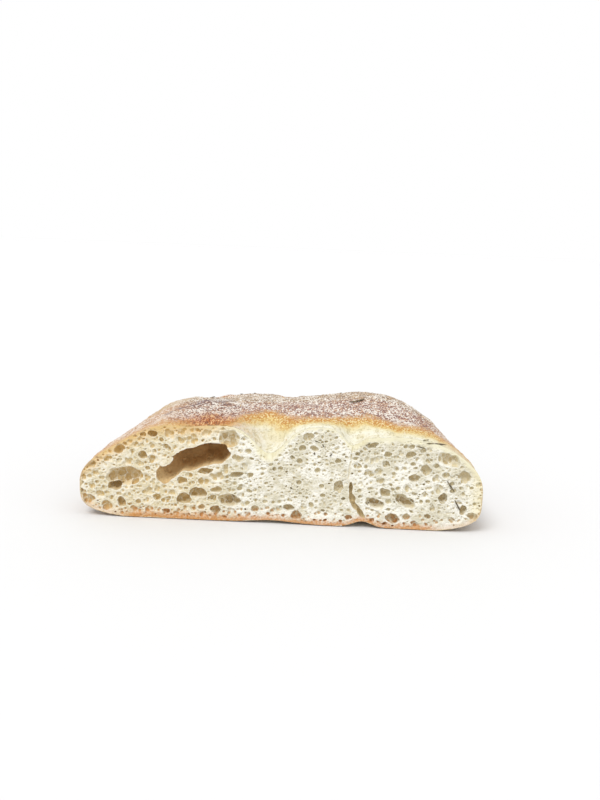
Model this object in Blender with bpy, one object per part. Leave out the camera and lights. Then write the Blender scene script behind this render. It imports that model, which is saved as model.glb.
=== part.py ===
# Half a focaccia loaf as it was cut: a wide low half with puffed crust, finger dimples,
# an open crumb on the cut face and herb needles baked into the crust.
# Metres, +Z up. X runs along the cut, the cut face looks along -Y, the underside is at z = 0.

import math

import bmesh
import bpy
import numpy as np
from mathutils import Euler, Matrix, Vector

# Driving sizes of the half
WIDTH = 0.160
DEPTH = 0.104
CROWN_HEIGHT = 0.040
TIP_HEIGHT_LEFT = 0.0138
TIP_HEIGHT_RIGHT = 0.0145
CUT_Y = -DEPTH / 2

# How square the outlines are: 2 is an ellipse, and higher is squarer
SECTION_LEFT = 2.1
SECTION_RIGHT = 2.6
SECTION_BACK = 3.2
SECTION_UNDERSIDE = 4.4
PLAN_OUTLINE = 2.2
HEIGHT_OUTLINE = 3.1
UNDERSIDE_OUTLINE = 12
# The underside is pressed flat by this share beyond its rounded edge
UNDERSIDE_FLATTENING = 1.10

# Fineness of the loaf's mesh round the section and from the cut to the back
SEGMENTS_ROUND = 80
SEGMENTS_BACK = 24

# The crust climbs a little behind the cut
BACK_RISE = 0.004
BACK_RISE_REACH = 0.050

# Puffs and hollows of the crust: x, distance behind the cut, radius in x, radius in y, height
SWELLS = (
    (0.044, 0.048, 0.026, 0.028, 0.0048),
    (-0.012, 0.048, 0.024, 0.028, -0.0020),
    (-0.048, 0.048, 0.022, 0.028, 0.0010),
    (-0.052, 0.000, 0.013, 0.022, 0.0034),
    (0.066, 0.000, 0.012, 0.018, 0.0018),
    (0.076, 0.036, 0.014, 0.028, -0.0062),
    (-0.074, 0.034, 0.016, 0.028, -0.0070),
)
# Finger dimples, in the same order of values; the first two are cut through
DIMPLES = (
    (-0.0046, -0.002, 0.0090, 0.014, -0.0115),
    (0.0275, 0.000, 0.0045, 0.012, -0.0050),
    (0.0350, 0.000, 0.0100, 0.014, -0.0024),
    (-0.034, 0.066, 0.009, 0.009, -0.0090),
    (0.006, 0.074, 0.010, 0.009, -0.0095),
    (0.040, 0.078, 0.009, 0.009, -0.0085),
    (-0.060, 0.040, 0.007, 0.008, -0.0040),
)
# Shallow arches of the underside at the cut: x, half width, rise
ARCHES = ((-0.003, 0.011, 0.0011), (0.033, 0.005, 0.0024))
ARCH_REACH = 0.012

# Large pores of the cut face: x, z, half width, half height, depth, tilt in degrees
PORES = (
    (-0.0620, 0.0165, 0.0065, 0.0035, 0.0035, 5),
    (-0.0660, 0.0124, 0.0030, 0.0018, 0.0060, 0),
    (-0.0633, 0.0058, 0.0019, 0.0019, 0.0024, 0),
    (-0.0640, 0.0274, 0.0022, 0.0018, 0.0020, 20),
    (-0.0548, 0.0256, 0.0019, 0.0016, 0.0022, 0),
    (-0.0510, 0.0345, 0.0019, 0.0016, 0.0026, 0),
    (-0.0205, 0.0335, 0.0038, 0.0030, 0.0026, 10),
    (-0.0298, 0.0200, 0.0029, 0.0015, 0.0026, 10),
    (-0.0391, 0.0157, 0.0022, 0.0014, 0.0020, 0),
    (-0.0172, 0.0192, 0.0030, 0.0011, 0.0024, 12),
    (-0.0328, 0.0113, 0.0037, 0.0021, 0.0032, 0),
    (-0.0382, 0.0087, 0.0027, 0.0024, 0.0028, 0),
    (-0.0254, 0.0128, 0.0023, 0.0012, 0.0018, 8),
    (-0.0198, 0.0084, 0.0043, 0.0023, 0.0038, -8),
    (-0.0254, 0.0044, 0.0020, 0.0019, 0.0024, 0),
    (0.0102, 0.0358, 0.0023, 0.0016, 0.0014, 0),
    (0.0128, 0.0311, 0.0019, 0.0012, 0.0014, 0),
    (0.0233, 0.0164, 0.0022, 0.0022, 0.0020, 0),
    (0.0039, 0.0065, 0.0023, 0.0014, 0.0024, 0),
    (0.0069, 0.0036, 0.0023, 0.0015, 0.0022, 0),
    (0.0359, 0.0335, 0.0023, 0.0010, 0.0018, 25),
    (0.0377, 0.0100, 0.0038, 0.0019, 0.0034, -22),
    (0.0415, 0.0147, 0.0024, 0.0016, 0.0022, -10),
    (0.0496, 0.0112, 0.0040, 0.0022, 0.0036, -28),
    (0.0452, 0.0041, 0.0027, 0.0021, 0.0030, 0),
    (0.0525, 0.0210, 0.0021, 0.0018, 0.0022, 0),
    (0.0571, 0.0242, 0.0020, 0.0018, 0.0020, 0),
    (0.0508, 0.0303, 0.0020, 0.0012, 0.0018, 15),
    (0.0645, 0.0132, 0.0019, 0.0025, 0.0024, 0),
    (0.0727, 0.0089, 0.0013, 0.0021, 0.0026, 0),
    (0.0725, 0.0223, 0.0024, 0.0027, 0.0020, 0),
    (0.0660, 0.0290, 0.0042, 0.0023, 0.0022, -15),
)
# The one deep pocket, as overlapping bubbles in the same order of values
POCKET = (
    (-0.0278, 0.0271, 0.0078, 0.0043, 0.0160, 6),
    (-0.0362, 0.0243, 0.0082, 0.0044, 0.0140, 16),
    (-0.0440, 0.0202, 0.0044, 0.0038, 0.0075, 42),
    (-0.0466, 0.0175, 0.0027, 0.0033, 0.0035, 10),
)
# The crack that runs down from the crease: x, z and half width at each of its turns
CRACK_TURNS = (
    (0.0279, 0.0174, 0.0005),
    (0.0282, 0.0132, 0.0011),
    (0.0293, 0.0096, 0.0013),
    (0.0312, 0.0070, 0.0012),
    (0.0338, 0.0044, 0.0008),
)
CRACK_DEPTH = 0.0035
# Half a crack stretch's cutter as a share of the stretch, so that neighbours overlap
CRACK_OVERLAP = 0.68

# A bubble's middle lies this share of its size behind the cut, so its mouth is a little narrower
PORE_SINK = 0.25
PORE_WIDENING = 1.03
# Bubbles larger than this get a finer mesh
FINE_PORE_SIZE = 0.0040

# Small pores, spread by a seeded rule
SMALL_PORES = 26
SMALL_PORE_RADII = (0.0010, 0.0016)
SMALL_PORE_MARGIN = 0.0028
SMALL_PORE_GAP = 0.0006
# They lie closer together low in the crumb
SMALL_PORE_LOWERING = 1.4
SMALL_PORE_FLATNESS = 0.8
# The share of the cut's width that holds them
SMALL_PORE_SPREAD = 0.86
SEED = 11

# Herb needles on the crust and on the crumb
NEEDLE_LENGTH = 0.0080
NEEDLE_RADIUS = 0.00045
NEEDLES_ON_CRUST = 13
# Where on the crust they lie: shares of the half turn over the top, and of the way to the back end
NEEDLE_TURNS = (0.12, 0.88)
NEEDLE_REACHES = (0.60, 0.95)
# They lie beyond the crest: least distance behind the cut, and how much more in the middle, which is
# given by its x and its half width
NEEDLE_LEAST_BACK = 0.064
NEEDLE_MIDDLE_BACK = 0.024
NEEDLE_MIDDLE = (-0.012, 0.017)
# One more lies by the crest: share of the half turn, share of the way back, heading
CREST_NEEDLE = (0.304, 0.317, 2.75)
# A small step over the crust, which gives the direction that a needle lies in
HEADING_STEP = 0.02
# x, z, length and tilt in degrees of the needles that lie in the cut face
NEEDLES_IN_CRUMB = (
    (0.0606, 0.0352, 0.0080, -2),
    (0.0672, 0.0184, 0.0056, -54),
    (0.0703, 0.0109, 0.0050, -60),
)


def rounded_square(turn, power):
    """Cosine and sine of a squared-off circle."""
    size = (np.abs(np.cos(turn)) ** power + np.abs(np.sin(turn)) ** power) ** (-1 / power)
    return size * np.cos(turn), size * np.sin(turn)


def outline(reach, power):
    """Falls from 1 at the cut to 0 at the back end."""
    return np.maximum(1 - reach ** power, 0) ** (1 / power)


def bump(x, back, swell):
    """A smooth round swelling, 1 at its middle."""
    mid_x, mid_back, radius_x, radius_back, height = swell
    return height * np.exp(-((x - mid_x) / radius_x) ** 2 - ((back - mid_back) / radius_back) ** 2)


def loaf_surface(turn, reach):
    """Crust points: turn goes round the section from +X over the top, reach from the cut to the back end."""
    turn = turn + 0.25 * np.sin(2 * turn)
    over = np.sin(turn) > 0
    side = 0.5 + 0.5 * np.sin(np.cos(turn) * math.pi / 2)
    tip = TIP_HEIGHT_LEFT + (TIP_HEIGHT_RIGHT - TIP_HEIGHT_LEFT) * side
    power = np.where(np.cos(turn) > 0, SECTION_RIGHT, SECTION_LEFT)
    power = power + (SECTION_BACK - power) * reach
    across, up = rounded_square(turn, np.where(over, power, SECTION_UNDERSIDE))
    back = DEPTH * reach
    x = WIDTH / 2 * across * outline(reach, PLAN_OUTLINE)

    rise = BACK_RISE * np.sin(np.clip(back / BACK_RISE_REACH, 0, 1) * math.pi / 2)
    z_over = tip + (CROWN_HEIGHT + rise - tip) * up * outline(reach, HEIGHT_OUTLINE)
    for swell in SWELLS + DIMPLES:
        z_over = z_over + bump(x, back, swell) * np.clip(up, 0, 1)

    pressed = UNDERSIDE_FLATTENING * up * outline(reach, UNDERSIDE_OUTLINE)
    z_under = tip * np.maximum(1 + pressed, 0)
    for mid_x, half_width, arch_rise in ARCHES:
        arch = np.exp(-((x - mid_x) / half_width) ** 2 - (back / ARCH_REACH) ** 2)
        z_under = z_under + arch_rise * arch * np.clip(-up, 0, 1)
    return x, CUT_Y + back, np.where(over, z_over, z_under)


def crust_height(x):
    """Height of the crust at the cut edge above each x."""
    turns = np.linspace(0.001, math.pi - 0.001, 400)
    edge_x, _, edge_z = loaf_surface(turns, np.zeros_like(turns))
    return np.interp(x, edge_x[::-1], edge_z[::-1])


def clear_scene():
    for item in list(bpy.data.objects):
        bpy.data.objects.remove(item)


def new_collection(name):
    collection = bpy.data.collections.new(name)
    bpy.context.scene.collection.children.link(collection)
    return collection


def add_object(name, mesh_data, collection):
    mesh = bpy.data.meshes.new(name)
    mesh_data.to_mesh(mesh)
    mesh_data.free()
    item = bpy.data.objects.new(name, mesh)
    collection.objects.link(item)
    return item


def crust_material():
    material = bpy.data.materials.new("baked_bread")
    material.use_nodes = True
    shader = material.node_tree.nodes["Principled BSDF"]
    shader.inputs["Base Color"].default_value = (0.68, 0.49, 0.30, 1)
    shader.inputs["Roughness"].default_value = 0.85
    shader.inputs["Metallic"].default_value = 0.0
    return material


def build_loaf(collection):
    """A sphere with its poles along Y, halved at the cut and shaped into the loaf."""
    data = bmesh.new()
    poles_along_y = Matrix.Rotation(-math.pi / 2, 4, "X")
    bmesh.ops.create_uvsphere(
        data, u_segments=SEGMENTS_ROUND, v_segments=2 * SEGMENTS_BACK, radius=1, matrix=poles_along_y
    )
    everything = data.verts[:] + data.edges[:] + data.faces[:]
    cut = bmesh.ops.bisect_plane(
        data, geom=everything, plane_co=(0, 0, 0), plane_no=(0, -1, 0), dist=0.0001, clear_outer=True
    )
    rim = [edge for edge in cut["geom_cut"] if isinstance(edge, bmesh.types.BMEdge)]
    bmesh.ops.contextual_create(data, geom=rim)

    points = np.array([vert.co for vert in data.verts])
    turn = np.arctan2(points[:, 2], points[:, 0])
    reach = np.clip(points[:, 1], 0, 1)
    for vert, x, y, z in zip(data.verts, *loaf_surface(turn, reach)):
        vert.co = (x, y, z)
    bmesh.ops.recalc_face_normals(data, faces=data.faces)
    return add_object("focaccia_half", data, collection)


def add_ellipsoid(name, centre, radii, tilt, fineness, collection):
    """A round cutter or grain, tilted about Y."""
    data = bmesh.new()
    bmesh.ops.create_icosphere(data, subdivisions=fineness, radius=1)
    item = add_object(name, data, collection)
    item.matrix_world = (
        Matrix.Translation(centre)
        @ Euler((0, -math.radians(tilt), 0)).to_matrix().to_4x4()
        @ Matrix.Diagonal((*radii, 1))
    )
    return item


def hide_as_cutter(item):
    item.hide_render = True
    item.display_type = "WIRE"


def add_pore(pore, index, collection):
    """A bubble whose middle lies just behind the cut, so that its mouth is a little narrower."""
    x, z, half_width, half_height, depth, tilt = pore
    smallest = min(half_width, half_height)
    fineness = 3 if smallest > FINE_PORE_SIZE else 2
    centre = (x, CUT_Y + PORE_SINK * smallest, z)
    radii = (half_width * PORE_WIDENING, depth, half_height * PORE_WIDENING)
    hide_as_cutter(add_ellipsoid(f"pore_{index:02d}", centre, radii, tilt, fineness, collection))


def crack_pores():
    """The crack as a chain of long thin bubbles, one along each stretch."""
    for (x_from, z_from, width_from), (x_to, z_to, width_to) in zip(CRACK_TURNS, CRACK_TURNS[1:]):
        length = math.hypot(x_to - x_from, z_to - z_from)
        tilt = math.degrees(math.atan2(z_to - z_from, x_to - x_from))
        half_width = (width_from + width_to) / 2
        middle = ((x_from + x_to) / 2, (z_from + z_to) / 2)
        yield (*middle, CRACK_OVERLAP * length, half_width, CRACK_DEPTH, tilt)


def small_pores():
    """Seeded places in the section that keep clear of the edge and of the larger pores."""
    generator = np.random.default_rng(SEED)
    taken = [(x, z, max(a, b)) for x, z, a, b, _, _ in PORES + POCKET + tuple(crack_pores())]
    found = []
    while len(found) < SMALL_PORES:
        radius = generator.uniform(*SMALL_PORE_RADII)
        x = generator.uniform(-0.5, 0.5) * WIDTH * SMALL_PORE_SPREAD
        z = SMALL_PORE_MARGIN + generator.random() ** SMALL_PORE_LOWERING * CROWN_HEIGHT
        if z > crust_height(x) - SMALL_PORE_MARGIN:
            continue
        if all(math.hypot(x - px, z - pz) > radius + size + SMALL_PORE_GAP for px, pz, size in taken):
            taken.append((x, z, radius))
            found.append((x, z, radius, radius * SMALL_PORE_FLATNESS, radius, 0))
    return found


def add_needle(centre, length, direction, collection):
    """A thin needle, pointed at both ends."""
    data = bmesh.new()
    bmesh.ops.create_uvsphere(data, u_segments=6, v_segments=4, radius=1)
    item = add_object("needle", data, collection)
    turn = Vector(direction).to_track_quat("Z", "Y").to_matrix().to_4x4()
    item.matrix_world = (
        Matrix.Translation(centre) @ turn @ Matrix.Diagonal((NEEDLE_RADIUS, NEEDLE_RADIUS, length / 2, 1))
    )


def crust_point(turn, reach):
    return Vector([float(value) for value in loaf_surface(np.array(turn), np.array(reach))])


def scatter_needles(collection):
    """Needles half sunk in the crust, at seeded places, and the ones that the cut laid bare."""
    generator = np.random.default_rng(SEED + 1)
    places = [CREST_NEEDLE]
    middle, half_width = NEEDLE_MIDDLE
    while len(places) <= NEEDLES_ON_CRUST:
        turn = generator.uniform(*NEEDLE_TURNS)
        reach = generator.uniform(*NEEDLE_REACHES)
        heading = generator.uniform(0, 2 * math.pi)
        across = WIDTH / 2 * math.cos(turn * math.pi)
        more = NEEDLE_MIDDLE_BACK * math.exp(-((across - middle) / half_width) ** 2)
        if DEPTH * reach > NEEDLE_LEAST_BACK + more:
            places.append((turn, reach, heading))
    for turn_share, reach, heading in places:
        turn = turn_share * math.pi
        here = crust_point(turn, reach)
        ahead = crust_point(turn + HEADING_STEP * math.cos(heading), reach + HEADING_STEP * math.sin(heading))
        add_needle(here, NEEDLE_LENGTH, ahead - here, collection)
    for x, z, length, tilt in NEEDLES_IN_CRUMB:
        angle = math.radians(tilt)
        add_needle((x, CUT_Y, z), length, (math.cos(angle), 0, math.sin(angle)), collection)


def join_by_boolean(body, collection, operation):
    """Cuts or fuses a collection's objects into the body, then removes them."""
    boolean = body.modifiers.new(operation.lower(), "BOOLEAN")
    boolean.operation = operation
    boolean.operand_type = "COLLECTION"
    boolean.collection = collection
    boolean.solver = "EXACT"
    evaluated = body.evaluated_get(bpy.context.evaluated_depsgraph_get())
    result = bpy.data.meshes.new_from_object(evaluated)
    body.modifiers.clear()
    body.data = result
    for item in list(collection.objects):
        bpy.data.objects.remove(item)
    bpy.data.collections.remove(collection)


def drop_scraps(body):
    """Keeps the largest connected piece of the mesh."""
    data = bmesh.new()
    data.from_mesh(body.data)
    unseen = set(data.verts)
    pieces = []
    while unseen:
        front = [unseen.pop()]
        piece = list(front)
        while front:
            near = {edge.other_vert(vert) for vert in front for edge in vert.link_edges}
            front = list(near & unseen)
            unseen.difference_update(front)
            piece.extend(front)
        pieces.append(piece)
    pieces.sort(key=len)
    loose = [vert for piece in pieces[:-1] for vert in piece]
    bmesh.ops.delete(data, geom=loose, context="VERTS")
    data.to_mesh(body.data)
    data.free()


def main():
    clear_scene()
    parts = new_collection("focaccia")
    loaf = build_loaf(parts)

    cutters = new_collection("pore_cutters")
    pores = list(PORES) + list(POCKET) + list(crack_pores()) + small_pores()
    for index, pore in enumerate(pores):
        add_pore(pore, index, cutters)
    join_by_boolean(loaf, cutters, "DIFFERENCE")

    needles = new_collection("needles")
    scatter_needles(needles)
    join_by_boolean(loaf, needles, "UNION")
    drop_scraps(loaf)

    loaf.data.materials.clear()
    loaf.data.materials.append(crust_material())
    loaf.data.shade_smooth()
    loaf.data.set_sharp_from_angle(angle=math.radians(40))


main()
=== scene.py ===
import itertools
import math

import bpy
import numpy as np
from mathutils import Color, Matrix, Vector


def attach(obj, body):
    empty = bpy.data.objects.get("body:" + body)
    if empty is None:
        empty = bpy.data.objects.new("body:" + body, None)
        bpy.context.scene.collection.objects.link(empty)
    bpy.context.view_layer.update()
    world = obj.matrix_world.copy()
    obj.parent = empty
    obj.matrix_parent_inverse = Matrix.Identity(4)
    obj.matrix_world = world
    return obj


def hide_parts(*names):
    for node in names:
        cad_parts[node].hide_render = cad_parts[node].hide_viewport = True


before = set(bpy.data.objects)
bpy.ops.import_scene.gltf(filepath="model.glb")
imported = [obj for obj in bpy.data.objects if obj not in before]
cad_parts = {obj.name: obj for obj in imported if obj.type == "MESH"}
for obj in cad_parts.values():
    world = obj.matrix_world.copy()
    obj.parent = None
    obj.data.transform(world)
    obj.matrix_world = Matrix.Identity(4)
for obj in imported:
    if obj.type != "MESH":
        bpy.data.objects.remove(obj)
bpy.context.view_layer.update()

mm = 0.001


def inMetres(rows, lengths=5):
    # rows of numbers, of which so many at the start are lengths in mm
    return tuple(tuple(v / 1000 for v in row[:lengths]) + tuple(row[lengths:]) for row in rows)


# The half loaf's form: the same named sizes as the solid, in metres, with tables in mm
loaf = {
    "width": 0.160,
    "depth": 0.104,
    "crown": 0.040,
    "tipLeft": 0.0138,
    "tipRight": 0.0145,
    "squareLeft": 2.1,  # 2 is an ellipse, and higher is squarer
    "squareRight": 2.6,
    "squareBack": 3.2,
    "squareUnder": 4.4,
    "planPower": 2.2,
    "heightPower": 3.1,
    "underPower": 12,
    "flatten": 1.10,
    "rise": 0.004,
    "riseReach": 0.050,
    # x, distance behind the cut, radius in x, radius in y, height
    "swells": inMetres((
        (44, 48, 26, 28, 4.8),
        (-12, 48, 24, 28, -2),
        (-48, 48, 22, 28, 1),
        (-52, 0, 13, 22, 3.4),
        (66, 0, 12, 18, 1.8),
        (76, 36, 14, 28, -6.2),
        (-74, 34, 16, 28, -7),
    )),
    "dimples": inMetres((
        (-4.6, -2, 9, 14, -11.5),
        (27.5, 0, 4.5, 12, -5),
        (35, 0, 10, 14, -2.4),
        (-34, 66, 9, 9, -9),
        (6, 74, 10, 9, -9.5),
        (40, 78, 9, 9, -8.5),
        (-60, 40, 7, 8, -4),
    )),
    # x, half width, rise
    "arches": inMetres(((-3, 11, 1.1), (33, 5, 2.4))),
    "archReach": 0.012,
}
cutY = -loaf["depth"] / 2
endX = loaf["width"] / 2


def smooth(low, high, value):
    t = np.clip((value - low) / (high - low), 0, 1)
    return t * t * (3 - 2 * t)


def hill(value, middle, radius):
    return np.exp(-((value - middle) / radius) ** 2)


def leaning(x, z, tilt):
    # offsets along and across a line that rises by tilt degrees
    lean = math.radians(tilt)
    return x * math.cos(lean) + z * math.sin(lean), z * math.cos(lean) - x * math.sin(lean)


def roundedSquare(turn, power):
    # cosine and sine of a squared-off circle: the angle's own pair over its power norm
    size = (np.abs(np.cos(turn)) ** power + np.abs(np.sin(turn)) ** power) ** (-1 / power)
    return size * np.cos(turn), size * np.sin(turn)


def outline(reach, power):
    # falls from 1 at the cut to 0 at the back end along a superellipse
    return np.maximum(1 - reach ** power, 0) ** (1 / power)


def loafSurface(turn, reach):
    # turn goes round the section from +X over the top, reach from the cut to the back end:
    # a squared-off half circle over and one under the tips, narrowed along two superellipses,
    # plus round swells and dimples
    turn = turn + 0.25 * np.sin(2 * turn)
    over = np.sin(turn) > 0
    side = 0.5 + 0.5 * np.sin(np.cos(turn) * math.pi / 2)
    tip = loaf["tipLeft"] + (loaf["tipRight"] - loaf["tipLeft"]) * side
    power = np.where(np.cos(turn) > 0, loaf["squareRight"], loaf["squareLeft"])
    power = power + (loaf["squareBack"] - power) * reach
    across, up = roundedSquare(turn, np.where(over, power, loaf["squareUnder"]))
    back = loaf["depth"] * reach
    x = endX * across * outline(reach, loaf["planPower"])

    rise = loaf["rise"] * np.sin(np.clip(back / loaf["riseReach"], 0, 1) * math.pi / 2)
    zOver = tip + (loaf["crown"] + rise - tip) * up * outline(reach, loaf["heightPower"])
    for midX, midBack, radiusX, radiusBack, height in loaf["swells"] + loaf["dimples"]:
        swell = height * hill(x, midX, radiusX) * hill(back, midBack, radiusBack)
        zOver = zOver + swell * np.clip(up, 0, 1)

    zUnder = tip * np.maximum(1 + loaf["flatten"] * up * outline(reach, loaf["underPower"]), 0)
    for midX, halfWidth, archRise in loaf["arches"]:
        arch = archRise * hill(x, midX, halfWidth) * hill(back, 0, loaf["archReach"])
        zUnder = zUnder + arch * np.clip(-up, 0, 1)
    return x, cutY + back, np.where(over, zOver, zUnder)


def edgeHeights(x):
    # heights of the underside and of the crust at the cut, read off the section's outline
    turns = np.linspace(0.001, math.pi - 0.001, 800)
    topX, _, topZ = loafSurface(turns, np.zeros_like(turns))
    lowX, _, lowZ = loafSurface(-turns, np.zeros_like(turns))
    return np.interp(x, lowX[::-1], lowZ[::-1]), np.interp(x, topX[::-1], topZ[::-1])


def hashed(ix, iy, iz, seed):
    # an integer scramble of a lattice corner, as a number from 0 to 1
    h = (ix * 374761393 + iy * 668265263 + iz * 2147483647 + seed * 1274126177) & 0xFFFFFFFF
    h = ((h ^ (h >> 13)) * 1274126177) & 0xFFFFFFFF
    return ((h ^ (h >> 16)) & 0xFFFFFF) / 0xFFFFFF


def softNoise(x, y, z, cell, seed):
    # lattice noise from -1 to 1, of cells in mm: random corners, blended smoothly across each cell
    cell = np.broadcast_to(np.asarray(cell) * mm, (3,))
    p = [np.asarray(v) / c for v, c in zip((x, y, z), cell)]
    base = [np.floor(v).astype(np.int64) for v in p]
    fx, fy, fz = [(v - b) ** 2 * (3 - 2 * (v - b)) for v, b in zip(p, base)]
    total = 0
    for dx, dy, dz in itertools.product((0, 1), repeat=3):
        weight = (fx if dx else 1 - fx) * (fy if dy else 1 - fy) * (fz if dz else 1 - fz)
        total = total + weight * hashed(base[0] + dx, base[1] + dy, base[2] + dz, seed)
    return total * 2 - 1


def noises(x, y, z, rows):
    # lattice noises added up, as rows of height, cell in mm and seed
    return sum(height * softNoise(x, y, z, cell, seed) for height, cell, seed in rows)


def closedGrid(around, along):
    # four-sided faces of a grid of points that closes on itself the first way
    number = np.arange(around * along).reshape(around, along)
    after = np.roll(number, -1, 0)
    return np.stack([number[:, :-1], after[:, :-1], after[:, 1:], number[:, 1:]], -1).reshape(-1, 4)


def addObject(name, data):
    made = bpy.data.objects.new(name, data)
    bpy.context.scene.collection.objects.link(made)
    return made


def addMesh(name, points, faces, attributes=None):
    # faces come as one array, or as a list of arrays with three and with four corners
    mesh = bpy.data.meshes.new(name)
    groups = [np.asarray(group) for group in (faces if isinstance(faces, list) else [faces])]
    corners = np.concatenate([group.ravel() for group in groups]).astype(np.int32)
    sizes = np.concatenate([np.full(len(group), group.shape[1]) for group in groups])
    mesh.vertices.add(len(points))
    mesh.vertices.foreach_set("co", np.asarray(points, np.float32).ravel())
    mesh.loops.add(len(corners))
    mesh.loops.foreach_set("vertex_index", corners)
    mesh.polygons.add(len(sizes))
    mesh.polygons.foreach_set("loop_start", (np.cumsum(sizes) - sizes).astype(np.int32))
    mesh.update(calc_edges=True)
    mesh.validate()
    for key, values in (attributes or {}).items():
        layer = mesh.attributes.new(key, "FLOAT", "POINT")
        layer.data.foreach_set("value", np.asarray(values, np.float32).ravel())
    mesh.shade_smooth()
    print(name, len(points), "points", int((sizes - 2).sum()), "triangles")
    return addObject(name, mesh)


# Shader maths: plain arithmetic on wires adds Math nodes
class Wire:
    def __init__(self, tree, socket):
        self.tree = tree
        self.socket = socket

    def math(self, operation, *values):
        return self.tree.node("Math", dict(enumerate(values)), operation=operation)

    def __add__(self, other):
        return self.math("ADD", self, other)

    __radd__ = __add__

    def __sub__(self, other):
        return self.math("SUBTRACT", self, other)

    def __rsub__(self, other):
        return self.math("SUBTRACT", other, self)

    def __mul__(self, other):
        return self.math("MULTIPLY", self, other)

    def clamp(self):
        return self.math("MINIMUM", self.math("MAXIMUM", self, 0.0), 1.0)

    def step(self, low, high):
        values = {"Value": self, "From Min": low, "From Max": high, "To Min": 0.0, "To Max": 1.0}
        return self.tree.node("MapRange", values, "Result", interpolation_type="SMOOTHSTEP")


# how much more light falls on the cut and on the top than a white surface needs to look white
lightLevel = {"cut": 1.22, "top": 1.46}


class Finish:
    def __init__(self, name, level="cut"):
        self.level = lightLevel[level]
        self.colour = None
        self.material = bpy.data.materials.new(name)
        self.material.use_nodes = True
        self.nodes = self.material.node_tree.nodes
        self.links = self.material.node_tree.links
        self.shader = self.nodes["Principled BSDF"]
        self.place = self.node("TexCoord", {}, "Object")

    def node(self, kind, values, output=0, **settings):
        made = self.nodes.new("ShaderNode" + kind)
        for key, value in settings.items():
            setattr(made, key, value)
        for key, value in values.items():
            self.feed(made.inputs[key], value)
        return Wire(self, made.outputs[output])

    def feed(self, socket, value):
        if isinstance(value, Wire):
            self.links.new(value.socket, socket)
        else:
            socket.default_value = value

    def read(self, *names):
        return [self.node("Attribute", {}, "Fac", attribute_name=name) for name in names]

    def noise(self, size, detail=3.0, rough=0.55, stretch=None):
        # spots of a size in mm
        place = self.place
        if stretch:
            place = self.node("Mapping", {"Vector": place, "Scale": stretch})
        values = {"Vector": place, "Scale": 1000 / size, "Detail": detail, "Roughness": rough}
        return self.node("TexNoise", values, "Fac")

    def across(self):
        return self.node("SeparateXYZ", {"Vector": self.place}, "X")

    def paint(self, seen):
        # a colour as seen on screen, 0 to 255, made linear and taken down by the level of the light
        linear = Color([value / 255 for value in seen]).from_srgb_to_scene_linear()
        return tuple(value / self.level for value in linear) + (1.0,)

    def ramp(self, value, stops):
        colour = self.node("ValToRGB", {"Fac": value}, "Color")
        elements = colour.socket.node.color_ramp.elements
        while len(elements) < len(stops):
            elements.new(0.5)
        for element, (position, seen) in zip(elements, stops):
            element.position = position
            element.color = self.paint(seen)
        return colour

    def mix(self, factor, first, second):
        first, second = [self.paint(end) if isinstance(end, tuple) else end for end in (first, second)]
        return self.node("Mix", {"Factor": factor, 6: first, 7: second}, 2, data_type="RGBA")

    def cover(self, share, colour):
        self.colour = self.mix(share, self.colour, colour)

    def set(self, **values):
        for key, value in values.items():
            self.feed(self.shader.inputs[key.replace("_", " ")], value)

    def finished(self, roughness, height, strength, distance):
        # the bumps' distance is in mm
        values = {"Height": height, "Strength": strength, "Distance": distance * mm}
        self.set(Base_Color=self.colour, Roughness=roughness, Normal=self.node("Bump", values))
        return self.material


# Camera
view = {
    "focalPixels": 900,
    "framePixels": (600, 800),
    "sensor": 36,  # mm along the frame's longer side
    "distance": 0.357,
    "elevation": 15.0,
    "azimuth": 2.5,
    "roll": 2.2,
    "aim": (0.0008, cutY, 0.020),
    "aimPixel": (282.5, 474.8),
}


def placeCamera():
    # The ray to the aim is set first, from elevation and azimuth, then the camera is turned about it
    # until the aim falls on its own pixel
    px = (view["aimPixel"][0] - view["framePixels"][0] / 2) / view["focalPixels"]
    py = (view["framePixels"][1] / 2 - view["aimPixel"][1]) / view["focalPixels"]
    roll, elevation, azimuth = [math.radians(view[key]) for key in ("roll", "elevation", "azimuth")]
    px, py = px * math.cos(roll) - py * math.sin(roll), px * math.sin(roll) + py * math.cos(roll)
    ray = np.array([px, py, 1.0]) / math.sqrt(px * px + py * py + 1)
    level = math.cos(elevation)
    look = np.array([-math.sin(azimuth) * level, math.cos(azimuth) * level, -math.sin(elevation)])
    pitch = math.asin(math.sin(elevation) / math.hypot(ray[1], ray[2])) - math.atan2(-ray[1], ray[2])
    ahead = ray[1] * math.sin(pitch) + ray[2] * math.cos(pitch)
    yaw = math.atan2(look[0], look[1]) - math.atan2(ray[0], ahead)
    camera = addObject("camera", bpy.data.cameras.new("camera"))
    camera.data.lens = view["focalPixels"] / view["framePixels"][1] * view["sensor"]
    camera.data.clip_start = 0.01
    camera.location = np.array(view["aim"]) - look * view["distance"]
    turned = Matrix.Rotation(-yaw, 3, "Z") @ Matrix.Rotation(math.pi / 2 - pitch, 3, "X")
    camera.rotation_euler = (turned @ Matrix.Rotation(roll, 3, "Z")).to_euler()
    bpy.context.scene.camera = camera


placeCamera()
print("camera placed")


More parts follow.
